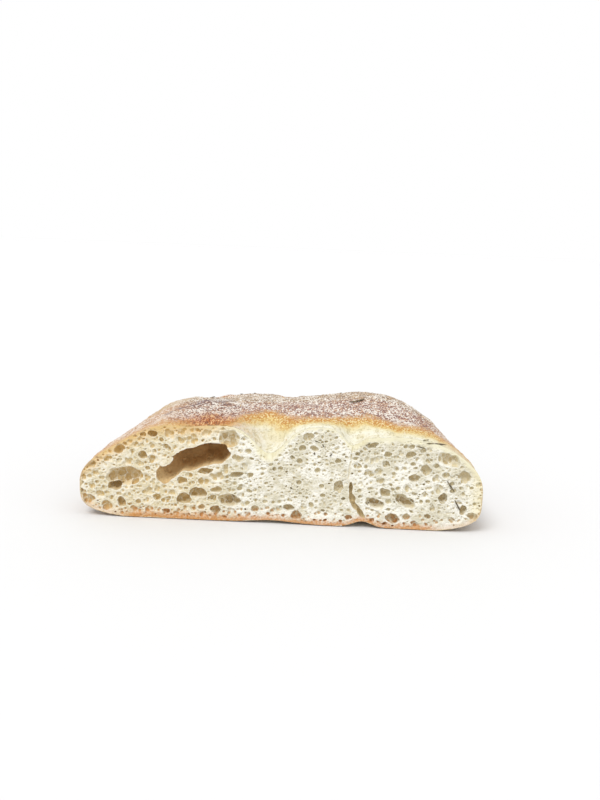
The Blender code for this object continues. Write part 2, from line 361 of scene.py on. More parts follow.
# Crumb: a block of dough values, positive in the bread, with the bubbles pressed into it
crumb = {
    "voxel": 0.2 * mm,
    "front": 1.2 * mm,  # room before the cut for its unevenness
    "seed": 11,
    # x, z, half width, half height, depth, tilt in degrees
    "pores": inMetres((
        (-62, 16.5, 6.5, 3.5, 3.5, 5), (-66, 12.4, 3, 1.8, 6, 0), (-63.3, 5.8, 1.9, 1.9, 2.4, 0),
        (-64, 27.4, 2.2, 1.8, 2, 20), (-54.8, 25.6, 1.9, 1.6, 2.2, 0), (-51, 34.5, 1.9, 1.6, 2.6, 0),
        (-20.5, 33.5, 3.8, 3, 2.6, 10), (-29.8, 20, 2.9, 1.5, 2.6, 10), (-39.1, 15.7, 2.2, 1.4, 2, 0),
        (-17.2, 19.2, 3, 1.1, 2.4, 12), (-32.8, 11.3, 3.7, 2.1, 3.2, 0), (-38.2, 8.7, 2.7, 2.4, 2.8, 0),
        (-25.4, 12.8, 2.3, 1.2, 1.8, 8), (-19.8, 8.4, 4.3, 2.3, 3.8, -8), (-25.4, 4.4, 2, 1.9, 2.4, 0),
        (10.2, 35.8, 2.3, 1.6, 1.4, 0), (12.8, 31.1, 1.9, 1.2, 1.4, 0), (23.3, 16.4, 2.2, 2.2, 2, 0),
        (3.9, 6.5, 2.3, 1.4, 2.4, 0), (6.9, 3.6, 2.3, 1.5, 2.2, 0), (35.9, 33.5, 2.3, 1, 1.8, 25),
        (37.7, 10, 3.8, 1.9, 3.4, -22), (41.5, 14.7, 2.4, 1.6, 2.2, -10), (49.6, 11.2, 4, 2.2, 3.6, -28),
        (45.2, 4.1, 2.7, 2.1, 3, 0), (52.5, 21, 2.1, 1.8, 2.2, 0), (57.1, 24.2, 2, 1.8, 2, 0),
        (50.8, 30.3, 2, 1.2, 1.8, 15), (64.5, 13.2, 1.9, 2.5, 2.4, 0), (72.7, 8.9, 1.3, 2.1, 2.6, 0),
        (72.5, 22.3, 2.4, 2.7, 2, 0), (66, 29, 4.2, 2.3, 2.2, -15),
    )),
    "pocket": inMetres((
        (-27.8, 27.1, 7.8, 4.3, 16, 6), (-36.2, 24.3, 8.2, 4.4, 14, 16),
        (-44, 20.2, 4.4, 3.8, 7.5, 42), (-46.6, 17.5, 2.7, 3.3, 3.5, 10),
    )),
    # x, z and half width at each turn
    "crackTurns": inMetres((
        (27.9, 17.4, 0.5), (28.2, 13.2, 1.1), (29.3, 9.6, 1.3), (31.2, 7, 1.2), (33.8, 4.4, 0.8),
    )),
    "crackDepth": 3.5 * mm,
    "crackOverlap": 0.68,
    "sink": 0.25,
    # pores wider than this have softer, somewhat wider rims
    "wide": 3.7 * mm,
    "wideLift": 0.45,
    "wideGrowth": 1.15,
    "dents": (0.20, 0.50),  # lesser bubbles in the pores' backs and sides, by the pore's least size
    # the small pores that the solid has too, by the same rule
    "smallPores": 26,
    "smallRadii": (1.0 * mm, 1.6 * mm),
    "smallMargin": 2.8 * mm,
    "smallGap": 0.6 * mm,
    "smallLowering": 1.4,
    "smallFlatness": 0.8,
    "smallSpread": 0.86,
    # the seam that joins the crease to the crack
    "seamTurns": inMetres((
        (28.1, 32.6, 0.2), (27.6, 30, 0.4), (27.7, 27, 0.3), (27, 24.4, 0.5),
        (27.1, 21.5, 0.3), (26.6, 19.2, 0.4), (27.9, 17, 0.4),
    )),
    "seamDepth": 0.38 * mm,
    # how far the pocket's bubbles melt into each other, and a tongue of dough left over its left end
    "pocketBlend": 0.7 * mm,
    "pocketTongues": inMetres(((-45.4, 23.1, 3, 1.5, 6, 32),)),
    # bubbles thrown between the named pores
    "tries": 24000,
    "leastRadius": 0.24 * mm,
    "mostRadius": (0.90 * mm, 1.8 * mm, 2.3 * mm),  # in the middle, on the right and on the left
    "rarity": 1.9,  # of the large ones
    "deepShare": 0.24,  # of the smallest
    "clear": 0.15 * mm,  # kept round each named pore
    "gaps": (-0.30, 0.16),  # between them, by their radius, and those below 0 run together
    "bubbleShape": ((1.0, 1.3), (0.62, 0.95), (0.55, 1.15)),  # half width, half height, depth by radius
    "tiltSpread": 18,
    "tiltRight": -26,  # low on the right
    # the finest foam: its cells and their walls, how deep they are, and the share that opens
    "foamCell": 1.0 * mm,
    "foamFlatness": 0.80,
    "foamWall": 0.08 * mm,
    "foamDepths": (0.06 * mm, 0.42 * mm),
    "foamShare": 0.85,
    "foamSkin": (1.2 * mm, 1.4 * mm),  # none so near the crust, and so much further from it on the right
    # pale dough pulled down over the cut in the dimple and in the crease: x, half width, height
    "smears": inMetres(((-5, 8, 6), (30, 5, 4))),
    # noises as height, cell and seed, in mm: on the cut, of the bubbles' places in x and z, in the dough
    "uneven": ((0.16, 6, 21), (0.10, 1.8, 22), (0.07, 0.7, 23)),
    "warps": (((0.55, 2.4, 31), (0.22, 0.9, 41)), ((0.55, 2.4, 32), (0.22, 0.9, 42))),
    "grain": ((0.04, 0.75, 51),),
    "blocks": 9,
    "blockDepth": 8 * mm,
    "pocketDepth": 18.6 * mm,
    "pocketDents": 9,  # in the back and the sides of each of its bubbles
    "pocketDentRadii": (0.5 * mm, 1.1 * mm),
}


def chainPores(turns, depth):
    # a crack as long thin bubbles, one along each stretch
    for (xFrom, zFrom, widthFrom), (xTo, zTo, widthTo) in zip(turns, turns[1:]):
        length = math.hypot(xTo - xFrom, zTo - zFrom)
        tilt = math.degrees(math.atan2(zTo - zFrom, xTo - xFrom))
        half = crumb["crackOverlap"] * length
        yield ((xFrom + xTo) / 2, (zFrom + zTo) / 2, half, (widthFrom + widthTo) / 2, depth, tilt)


crackPores = tuple(chainPores(crumb["crackTurns"], crumb["crackDepth"]))
seamPores = tuple(chainPores(crumb["seamTurns"], crumb["seamDepth"]))


def smallPores():
    # the seeded rule of the solid, so the same pores come out
    generator = np.random.default_rng(crumb["seed"])
    taken = [(x, z, max(a, b)) for x, z, a, b, _, _ in crumb["pores"] + crumb["pocket"] + crackPores]
    found = []
    while len(found) < crumb["smallPores"]:
        radius = generator.uniform(*crumb["smallRadii"])
        x = generator.uniform(-0.5, 0.5) * loaf["width"] * crumb["smallSpread"]
        z = crumb["smallMargin"] + generator.random() ** crumb["smallLowering"] * loaf["crown"]
        if z > edgeHeights(x)[1] - crumb["smallMargin"]:
            continue
        if all(math.hypot(x - px, z - pz) > radius + size + crumb["smallGap"] for px, pz, size in taken):
            taken.append((x, z, radius))
            found.append((x, z, radius, radius * crumb["smallFlatness"], radius, 0))
    return tuple(found)


seededPores = smallPores()


def bubbleList():
    # the named and the small pores, the pocket's dents, the crack and the seam, as rows of x, y, z,
    # radius in x, y and z, and tilt
    rows = []
    draw = np.random.default_rng(crumb["seed"] + 5).uniform
    for x, z, a, b, depth, tilt in crumb["pores"] + seededPores:
        # a wide pore's middle is lifted out of the bread, so that its rim is soft
        isWide = a > crumb["wide"]
        lift = crumb["wideLift"] * depth * isWide
        grown = crumb["wideGrowth"] if isWide else 1.0
        middle = (x, cutY + crumb["sink"] * min(a, b) - lift, z)
        rows.append((*middle, a * grown, depth + 0.5 * lift, b * grown, tilt))
        # lesser bubbles open into the back and sides of each pore
        for _ in range(int(4 + 4 * max(a, b) / mm)):
            angle, out = draw(0, 2 * math.pi), draw(0.15, 0.95)
            size = draw(*crumb["dents"]) * min(a, b, depth)
            wall = depth * math.sqrt(1 - out * out)
            place = (x + a * out * math.cos(angle), cutY + wall, z + b * out * math.sin(angle))
            rows.append(place + (size, size, size, 0))
    for x, z, a, b, depth, tilt in crumb["pocket"]:
        for _ in range(crumb["pocketDents"]):
            angle, out = draw(0, 2 * math.pi), draw(0.45, 0.95)
            size = draw(*crumb["pocketDentRadii"])
            wall = math.sqrt(1 - out * out)
            dx, dz = leaning(a * math.cos(angle) * wall, b * math.sin(angle) * wall, -tilt)
            rows.append((x + dx, cutY + depth * out, z + dz, size * 1.4, size * 1.4, size, tilt))
    for x, z, a, b, depth, tilt in crackPores + seamPores:
        rows.append((x, cutY + crumb["sink"] * b, z, a, depth, b, tilt))
    return rows


def bubbleDistance(axes, warp, row, share):
    # an ellipsoid's distance: its three stretched offsets as one length, less 1, times its least radius
    x, y, z, rx, ry, rz, tilt = row
    dx = axes[0][:, None, None] - x + warp[0] * share
    dy = axes[1][None, :, None] - y
    dz = axes[2][None, None, :] - z + warp[1] * share
    u, v = leaning(dx, dz, tilt)
    return (np.sqrt((u / rx) ** 2 + (v / rz) ** 2 + (dy / ry) ** 2) - 1) * min(rx, ry, rz)


def pressBubbles(field, axes, warp, rows):
    # the lowest distance is kept at each place, worked out in a box round each bubble
    margin = 0.7 * mm
    for row in rows:
        x, y, z, rx, ry, rz, _ = row
        reach = max(rx, rz) + margin
        spans = ((x - reach, x + reach), (y - ry - margin, y + ry + margin), (z - reach, z + reach))
        (i0, i1), (j0, j1), (k0, k1) = [np.searchsorted(axis, span) for axis, span in zip(axes, spans)]
        near = (axes[0][i0:i1], axes[1][j0:j1], axes[2][k0:k1])
        bent = [w[i0:i1, None, k0:k1] for w in warp]
        distance = bubbleDistance(near, bent, row, min(1.0, min(rx, rz) / (1.6 * mm)))
        block = np.s_[i0:i1, j0:j1, k0:k1]
        np.minimum(field[block], distance, out=field[block])


def pressPocket(field, axes, warp):
    # the pocket's bubbles melt into one smooth cave: minus the log of their summed falling exponentials
    blend = crumb["pocketBlend"]
    warp = [w[:, None, :] for w in warp]
    total = np.zeros(field.shape, np.float32)
    for x, z, a, b, depth, tilt in crumb["pocket"]:
        row = (x, cutY + crumb["sink"] * min(a, b), z, a, depth, b, tilt)
        distance = bubbleDistance(axes, warp, row, 0.7)
        total += np.exp(-np.minimum(distance, 5 * mm) / blend).astype(np.float32)
    cave = -blend * np.log(total)
    for x, z, a, b, depth, tilt in crumb["pocketTongues"]:
        cave = np.maximum(cave, -bubbleDistance(axes, warp, (x, cutY, z, a, depth, b, tilt), 0.7))
    np.minimum(field, cave, out=field)


def smearShare(x, z, top):
    # how far the pale dough covers the cut: 1 under the dimple and under the crease
    share = 0 * x
    for midX, halfWidth, height in crumb["smears"]:
        share = np.maximum(share, hill(x, midX, halfWidth) * smooth(height, 0.2 * height, top - z))
    return share


def onLeft(x):
    return smooth(-8 * mm, -22 * mm, x)


def paleTop(x):
    # 1 where the cut's top edge is pale, and 0 on the left, where it is baked
    return smooth(-18 * mm, -12 * mm, x)


def thrownBubbles(generator):
    # Discs thrown on the cut, the largest first, each kept where it clears the ones before it:
    # a power law of radii, cut off lower in the middle, and none in the skin or in the pale dough
    count = crumb["tries"]
    x = generator.uniform(-0.5, 0.5, count) * loaf["width"]
    z = generator.random(count) * (loaf["crown"] + 3 * mm)
    low, top = edgeHeights(x)
    left = onLeft(x)
    coarse = np.maximum(smooth(25 * mm, 36 * mm, x), 0.6 * smooth(14 * mm, 5 * mm, z - low))
    least = crumb["leastRadius"] * (1 + 0.5 * left)
    power = crumb["rarity"] - 0.3 * left
    mostMiddle, mostRight, mostLeft = crumb["mostRadius"]
    most = mostMiddle + (mostRight - mostMiddle) * coarse
    most = most + (mostLeft - most) * left
    most = most * (1 + 0.45 * softNoise(x, 0 * x, z, 8, 61))
    radius = least * (1 - generator.random(count) * (1 - (least / most) ** power)) ** (-1 / power)
    gap = generator.uniform(*crumb["gaps"], count) * np.minimum(radius, mm)
    skin = (0.5 + 0.3 * smooth(-30 * mm, -16 * mm, x) + 1.3 * smooth(22 * mm, 40 * mm, x)) * mm
    inside = (top - z > skin + 0.8 * radius) & (z - low > 0.7 * mm + 0.8 * radius)
    chosen = np.flatnonzero(inside & (generator.random(count) > 1.1 * smearShare(x, z, top)))
    chosen = chosen[np.argsort(-radius[chosen])]

    # each named pore stands in the way as a row of discs along its length
    taken = []
    for px, pz, a, b, _, tilt in crumb["pores"] + crumb["pocket"] + seededPores + crackPores + seamPores:
        for t in (-1, -0.5, 0, 0.5, 1):
            dx, dz = leaning(t * abs(a - b), 0, -tilt if a > b else -tilt - 90)
            taken.append((px + dx, pz + dz, min(a, b) + crumb["clear"]))
    taken = np.concatenate([taken, np.zeros((len(chosen), 3))])
    size = len(taken) - len(chosen)
    kept = []
    for i in chosen:
        away = np.hypot(taken[:size, 0] - x[i], taken[:size, 1] - z[i]) - taken[:size, 2]
        if away.min() > radius[i] + gap[i]:
            taken[size] = x[i], z[i], radius[i]
            size += 1
            kept.append(i)
    return x[kept], z[kept], radius[kept]


def foamBubbles():
    # the thrown discs as leaning ellipsoids, with lesser ones in the backs of the large
    generator = np.random.default_rng(crumb["seed"] + 7)
    draw = generator.uniform
    rows = []
    for x, z, r in zip(*thrownBubbles(generator)):
        rightLobe = smooth(32 * mm, 46 * mm, x) * smooth(26 * mm, 10 * mm, z)
        tilt = generator.normal(0, crumb["tiltSpread"]) + crumb["tiltRight"] * rightLobe
        wide, flat, thick = [draw(*span) for span in crumb["bubbleShape"]]
        # the smallest and the largest are shallower, and so are the middling ones on the left
        thick = thick * (0.6 + 0.4 * smooth(0.3 * mm, 0.8 * mm, r))
        thick = thick * (1 - 0.4 * smooth(0.7 * mm, 1.5 * mm, r))
        thick = thick * (1 - 0.3 * smooth(0.4 * mm, 0.7 * mm, r) * onLeft(x))
        if generator.random() < crumb["deepShare"] and r < 0.55 * mm:
            thick = 3.0 * thick
        behind = draw(-0.70, 0.45) * r * thick
        rows.append((x, cutY + behind, z, r * wide, r * thick, r * flat, tilt))
        for _ in range(int(3.5 * r / mm)):
            angle, out = draw(0, 2 * math.pi), draw(0.1, 0.9)
            size = draw(0.3, 0.55) * r
            place = (x + r * out * math.cos(angle), cutY + behind + r * thick * math.sqrt(1 - out * out))
            rows.append(place + (z + r * flat * out * math.sin(angle), size, size, size, 0))
    print(len(rows), "thrown bubbles")
    return rows


def foam(x, z):
    # A jittered lattice of points: at each place half the difference between the distances to the
    # second nearest and the nearest point, and two random numbers of its cell
    size = crumb["foamCell"]
    across, up = x / size, z / (size * crumb["foamFlatness"])
    baseX, baseZ = np.floor(across).astype(np.int64), np.floor(up).astype(np.int64)
    nearest = np.full(x.shape, 9.0)
    second, numbers = nearest.copy(), [nearest.copy() for _ in range(2)]
    for dx, dz in itertools.product((-1, 0, 1), repeat=2):
        cell = [hashed(baseX + dx, baseZ + dz, 0 * baseX, crumb["seed"] + k) for k in range(4)]
        away = np.hypot(baseX + dx + 0.05 + 0.9 * cell[0] - across, baseZ + dz + 0.05 + 0.9 * cell[1] - up)
        closer = away < nearest
        second = np.where(closer, nearest, np.minimum(second, away))
        numbers = [np.where(closer, new, old) for new, old in zip(cell[2:], numbers)]
        nearest = np.minimum(nearest, away)
    return (second - nearest) * size / 2, *numbers


def foamDepth(x, z, warp):
    # the finest foam as small dishes in the cut, each sunk away from its walls along a quarter round
    size, (least, most) = crumb["foamCell"], crumb["foamDepths"]
    low, top = [edge[:, None] for edge in edgeHeights(x[:, 0])]
    between, chance, pitch = foam(x + 0.4 * warp[0], z + 0.4 * warp[1])
    rim = np.clip((between - crumb["foamWall"]) / (0.3 * size), 0, 1)
    thick = crumb["foamSkin"][0] + crumb["foamSkin"][1] * smooth(22 * mm, 40 * mm, x)
    skin = smooth(0.5 * mm, thick, top - z) * smooth(0.3 * mm, 1.0 * mm, z - low)
    opened = smooth(0, 0.12, crumb["foamShare"] * skin * (1 - smearShare(x, z, top)) - chance)
    return (least + (most - least) * pitch ** 2) * opened * np.sqrt(rim * (2 - rim))


def openAir(air):
    # spreads from the front through the air, layer by layer, and leaves sealed bubbles out
    reached = np.zeros_like(air)
    reached[:, 0] = air[:, 0]
    count = air.shape[1]
    for order in (range(1, count), range(count - 2, 0, -1), range(1, count)):
        for j in order:
            layer = reached[:, j] | ((reached[:, j - 1] | reached[:, min(j + 1, count - 1)]) & air[:, j])
            for _ in range(14):
                layer[1:] |= layer[:-1]
                layer[:-1] |= layer[1:]
                layer[:, 1:] |= layer[:, :-1]
                layer[:, :-1] |= layer[:, 1:]
                layer &= air[:, j]
            reached[:, j] = layer
    return reached


def surfaceNet(field, origin, step):
    # One point in each cell that the surface crosses, at the mean of its edges' crossings,
    # and one four-sided face across each crossed edge
    cells = np.array(field.shape) - 1
    inside = field > 0
    # for each cell, the sums of its crossings' three coordinates, and how many there are
    sums = np.zeros((4, cells.prod()))
    crossed = []
    for axis in range(3):
        at = np.array(np.nonzero(np.diff(inside, axis=axis)))
        after = at.copy()
        after[axis] += 1
        f0, f1 = field[tuple(at)], field[tuple(after)]
        place = at.astype(float)
        place[axis] += f0 / (f0 - f1)
        others = [a for a in range(3) if a != axis]
        corner = []
        # the last column's faces across x belong to the next block
        valid = at[0] < cells[0] - (axis == 0)
        for d0, d1 in ((1, 1), (0, 1), (0, 0), (1, 0)):
            cell = at.copy()
            cell[others[0]] -= d0
            cell[others[1]] -= d1
            good = (cell >= 0).all(0) & (cell < cells[:, None]).all(0)
            flat = np.ravel_multi_index(cell, cells, mode="clip")
            valid &= good
            for a, values in enumerate((*place, np.ones(len(flat)))):
                sums[a] += np.bincount(flat[good], values[good], sums.shape[1])
            corner.append(flat)
        quads = np.array(corner).T[valid]
        back = (f0 > 0)[valid] == (axis == 1)
        quads[back] = quads[back][:, ::-1]
        crossed.append(quads)
    used = np.flatnonzero(sums[3])
    number = np.full(sums.shape[1], -1)
    number[used] = np.arange(len(used))
    return (sums[:3, used] / sums[3, used]).T * step + origin, number[np.concatenate(crossed)]


def boxBlur(values, radius):
    # mean over a cube, from running sums along each axis
    for axis in range(3):
        padded = np.concatenate([np.zeros_like(np.take(values, [0], axis)), np.cumsum(values, axis)], axis)
        n = values.shape[axis]
        high = np.minimum(np.arange(n) + radius + 1, n)
        low = np.maximum(np.arange(n) - radius, 0)
        width = (high - low).reshape([-1 if a == axis else 1 for a in range(3)])
        values = ((np.take(padded, high, axis) - np.take(padded, low, axis)) / width).astype(np.float32)
    return values


def makeDough():
    # the whole cut, as dough values with all bubbles pressed in, and its axes
    step = crumb["voxel"]
    half = math.ceil((endX + 1.25 * mm) / step)
    xs = np.arange(-half, half + 1) * step
    ys = cutY - crumb["front"] + np.arange(round((crumb["pocketDepth"] + crumb["front"]) / step)) * step
    zs = np.arange(-2, round((loaf["crown"] + 2.5 * mm) / step)) * step
    x, z = np.meshgrid(xs, zs, indexing="ij")
    flat = 0 * x
    uneven = noises(x, flat, z, crumb["uneven"]) * mm
    warp = [noises(x, flat, z, rows) * mm for rows in crumb["warps"]]

    bubbles = np.full((len(xs), len(ys), len(zs)), 5 * mm, np.float32)
    pressBubbles(bubbles, (xs, ys, zs), warp, bubbleList() + foamBubbles())
    low, high = np.searchsorted(xs, pocketSpan())
    pressPocket(bubbles[low:high], (xs[low:high], ys, zs), [w[low:high] for w in warp])
    print("bubbles pressed")
    # the finest foam keeps a little clear of the bubbles
    clear = smooth(0.02 * mm, 0.30 * mm, bubbles[:, round(crumb["front"] / step)])
    # level with the crust along the pale top edge
    level = smooth(2.4 * mm, 0.2 * mm, edgeHeights(x[:, 0])[1][:, None] - z) * paleTop(x)
    uneven = uneven * (1 - level) + 0.02 * mm * level
    surface = uneven + foamDepth(x, z, warp) * clear
    dough = np.minimum((ys[None, :, None] - cutY - surface[:, None, :]).astype(np.float32), bubbles)
    layers = round((crumb["front"] + 2 * mm) / step)
    near = np.meshgrid(xs, ys[:layers], zs, indexing="ij")
    dough[:, :layers] += (noises(*near, crumb["grain"]) * mm).astype(np.float32)
    air = dough < 0
    dough[air & ~openAir(air)] = 0.5 * step
    return dough, (xs, ys, zs)


def pocketSpan():
    # the stretch of x that the pocket's bubbles reach
    return (min(x - a for x, _, a, _, _, _ in crumb["pocket"]) - 2 * mm,
            max(x + a for x, _, a, _, _, _ in crumb["pocket"]) + 2 * mm)


def crumbAttributes(points, low, top, shares):
    x, y, z = points.T
    deep = (y - cutY) / mm
    pocket = np.full(len(points), 9.0)
    for px, pz, a, b, _, tilt in crumb["pocket"] + crackPores + seamPores:
        u, v = leaning(x - px, z - pz, tilt)
        pocket = np.minimum(pocket, np.hypot(u / a, v / b))
    return {
        "deep": deep,
        "fromTop": (top - z) / mm,
        "fromBase": (z - low) / mm,
        "wall": shares[0],
        "hollow": shares[1],
        "pocket": smooth(1.25, 1.05, pocket) * smooth(0.2, 0.9, deep),
        "smear": smearShare(x, z, top),
    }


def makeCrumb():
    pieces = []
    step = crumb["voxel"]
    dough, (xs, ys, zs) = makeDough()
    # the share of dough round each place, close by and further out
    solid = [boxBlur((dough > 0).astype(np.float32), reach) for reach in (2, 5)]
    edges = np.linspace(0, len(xs) - 1, crumb["blocks"] + 1).round().astype(int)
    pocketFrom, pocketTo = pocketSpan()
    for number, (i0, i1) in enumerate(zip(edges, edges[1:])):
        # neighbouring blocks share a column of cells, so that they meet
        deepBlock = xs[i0] < pocketTo and xs[i1] > pocketFrom
        depth = crumb["pocketDepth"] if deepBlock else crumb["blockDepth"]
        block = dough[i0:i1 + 2, :round((depth + crumb["front"]) / step)].copy()
        block[:, -1] = np.maximum(block[:, -1], 0.5 * step)
        points, faces = surfaceNet(block, np.array([xs[i0], ys[0], zs[0]]), step)

        # what lies outside the section goes, and the last row of points moves onto its edge
        x, _, z = points.T
        low, top = edgeHeights(x)
        inset = np.minimum(np.minimum(z - low, top - z), endX - np.abs(x))
        faces = faces[(inset[faces] > 0.1 * mm).any(1)]
        # a little inside the crust, and closer to it where the edge is pale
        inner = (0.08 - 0.06 * paleTop(x)) * mm
        points[:, 2] = np.clip(z, low + 0.08 * mm, np.maximum(top - inner, low + 0.08 * mm))
        points[:, 0] = np.clip(x, -endX + 0.1 * mm, endX - 0.1 * mm)
        used, faces = np.unique(faces, return_inverse=True)
        faces, points, low, top = faces.reshape(-1, 4), points[used], low[used], top[used]
        index = tuple(np.clip(((along - axis[0]) / step).round().astype(int), 0, len(axis) - 1)
                      for along, axis in zip(points.T, (xs, ys, zs)))
        attributes = crumbAttributes(points, low, top, [share[index] for share in solid])
        pieces.append(addMesh("crumb_" + str(number + 1), points, faces, attributes))
    return pieces


crumbPieces = makeCrumb()


# Crust: one skin right round the loaf, from a lip on the cut face to the back end, in a fine front
# piece and a back piece that share a row of points
crust = {
    "columnsOver": 500,
    "columnsUnder": 140,
    "rowsFront": 134,
    "rowsBack": 148,
    "frontReach": 0.32,
    # the lip on the cut face: distance inward and how deep it lies there, outermost ring last
    "lip": ((0.80 * mm, 0.42 * mm), (0.40 * mm, 0.08 * mm), (0.16 * mm, 0.0)),
    "lipUneven": 0.45,
    # lumps and wrinkles, then grain, as height, cell and seed, and fine crackle, all in mm
    "relief": ((0.34, 11, 51), (0.24, (7, 4, 4), 52), (0.16, (4, 1.7, 1.7), 53), (0.10, 1.3, 54)),
    "grain": ((0.10, 0.95, 56), (0.05, 0.6, 57)),
    "crackleCell": (6, 2.6, 2.6),
    "crackleDepth": 0.32,
    "blisters": 130,
    "blisterRadii": (1.0 * mm, 3.2 * mm),
    "blisterHeights": (0.08, 0.20),  # by their radius
    # distance behind the cut, in mm, where the baking starts: in the middle, further in by so much in the
    # dimple and in the crease, and on the left, with the width over which it grows
    "start": 0.3,
    "startDimple": 8.5,
    "startCrease": 6.5,
    "startLeft": -7.0,
    "bakeWidth": 16.0,
    # a wavy crease on the left: its distance behind the cut at each x, with its width and depth, in mm
    "creaseX": (-51, -48, -45, -39, -33, -24),
    "creaseBack": (15, 18, 26, 31, 36, 38),
    "creaseEnd": (-20, -26),
    "creaseWidth": 1.1,
    "creaseDepth": 0.45,
}


def creaseShare(x, y, z, width):
    # how near each point is to the wavy crease, fading at its ends
    across = x / mm
    line = np.interp(across, crust["creaseX"], crust["creaseBack"])
    line = line + 1.3 * softNoise(x, 0 * x, 0 * x, 3.5, 75)
    ends = smooth(crust["creaseX"][0], crust["creaseX"][1], across) * smooth(*crust["creaseEnd"], across)
    return hill((y - cutY) / mm, line, width) * ends * (z > 0.02)


def crustRelief(x, y, z, over, bake):
    # broad lumps, wrinkles that run along the cut, fine crackle, floury grain where it is baked, and
    # seeded round blisters
    ridge = 1 - np.abs(softNoise(x, y, z, crust["crackleCell"], 55))
    relief = noises(x, y, z, crust["relief"]) - crust["crackleDepth"] * ridge ** 8
    relief += noises(x, y, z, crust["grain"]) * (0.25 + 0.75 * bake)
    relief -= crust["creaseDepth"] * creaseShare(x, y, z, crust["creaseWidth"])
    relief *= mm
    draw = np.random.default_rng(crumb["seed"] + 40).uniform
    for _ in range(crust["blisters"]):
        turn, reach = draw(0.08, 0.92) * math.pi, draw(0.02, 0.97)
        size = draw(*crust["blisterRadii"])
        height = size * draw(*crust["blisterHeights"])
        bx, by, bz = [float(v) for v in loafSurface(np.array(turn), np.array(reach))]
        away = ((x - bx) ** 2 + (y - by) ** 2 + (z - bz) ** 2) / size ** 2
        relief += height * np.exp(-away ** 1.5)
    atCut = 0.35 * smooth(0.02, 0.3, bake)
    return relief * np.where(over, 1.0, 0.55) * (atCut + (1 - atCut) * smooth(0, 3 * mm, y - cutY))


def bakeMaps(x, y, z, facingDown):
    # how far the baking has gone at each point, and where its colour turns off the usual run
    across, back = x / mm, (y - cutY) / mm
    patch = noises(x, y, z, ((1.4, 9, 71), (1.2, 3, 72)))
    start = crust["start"] + crust["startLeft"] * smooth(-16, -23, across)
    start = start + crust["startDimple"] * hill(across, -6, 9) + crust["startCrease"] * hill(across, 33, 11)
    dimple = sum(hill(x, d[0], d[2]) * hill(y - cutY, d[1], d[3]) for d in loaf["dimples"][3:])
    wander = softNoise(x, y, z, 6, 73)
    streak = softNoise(x, y, z, (9, 2.2, 2.2), 74)
    # how far back the crust can be seen over the crest, and a little more
    seen = 62 + 24 * hill(across, -12, 17) + 3 * wander
    slower = smooth(44, 62, across)
    grown = np.clip((back + patch - start + 1.5 * slower) / (crust["bakeWidth"] * (1 + 0.5 * slower)), 0, 1)
    # purple-brown streaks of crust tone beside the crease; below, painted shade along the crease itself
    # joins them
    creaseShadeAndTone = 0.45 * smooth(0.0, 0.5, streak) * creaseShare(x, y, z, 6.0)
    side = across + 3 * wander
    behind = smooth(seen - 4, seen + 8, back)
    return {
        "bake": grown * (1 - 0.5 * np.clip(dimple, 0, 1)),
        "orange": hill(across, -29 + 2 * wander, 12) * hill(back, 5, 8),
        "creaseShadeAndTone": np.maximum(creaseShare(x, y, z, 1.4), creaseShadeAndTone),
        "shoulder": np.maximum(smooth(-37, -50, side), 0.8 * smooth(57, 70, side)),
        "crest": smooth(30, 42, back + 3 * wander) * smooth(seen + 8, seen, back) * smooth(27, 37, z / mm),
        "rear": np.maximum(behind, smooth(34, 56, back) * smooth(33, 23, z / mm)),
        "low": 1 - smooth(12 * mm, 25 * mm, z + 3 * mm * wander),
        "under": smooth(1.0 * mm, 0.3 * mm, z) * facingDown,
    }


def crustRings(edge, normal, z, bake):
    # the lip: rings from the edge inward on the cut face, ending back under the crumb's edge,
    # narrower at the base and where the edge is pale
    inward = -normal * np.array([1, 0, 1])
    inward /= np.linalg.norm(inward, axis=-1, keepdims=True)
    uneven = 1 + crust["lipUneven"] * softNoise(edge[:, 0], 0 * z, z, 1.6, 62)
    pale = smooth(0.25, 0, bake) * (z > 20 * mm)
    uneven = uneven * (0.55 + 0.45 * smooth(2 * mm, 8 * mm, z)) * (1 - 0.6 * pale)
    rings = []
    for width, sink in crust["lip"]:
        ring = edge + inward * (width * uneven)[:, None]
        ring[:, 1] = cutY + sink + 0.12 * mm * pale
        rings.append(ring)
    return np.stack(rings, 1)


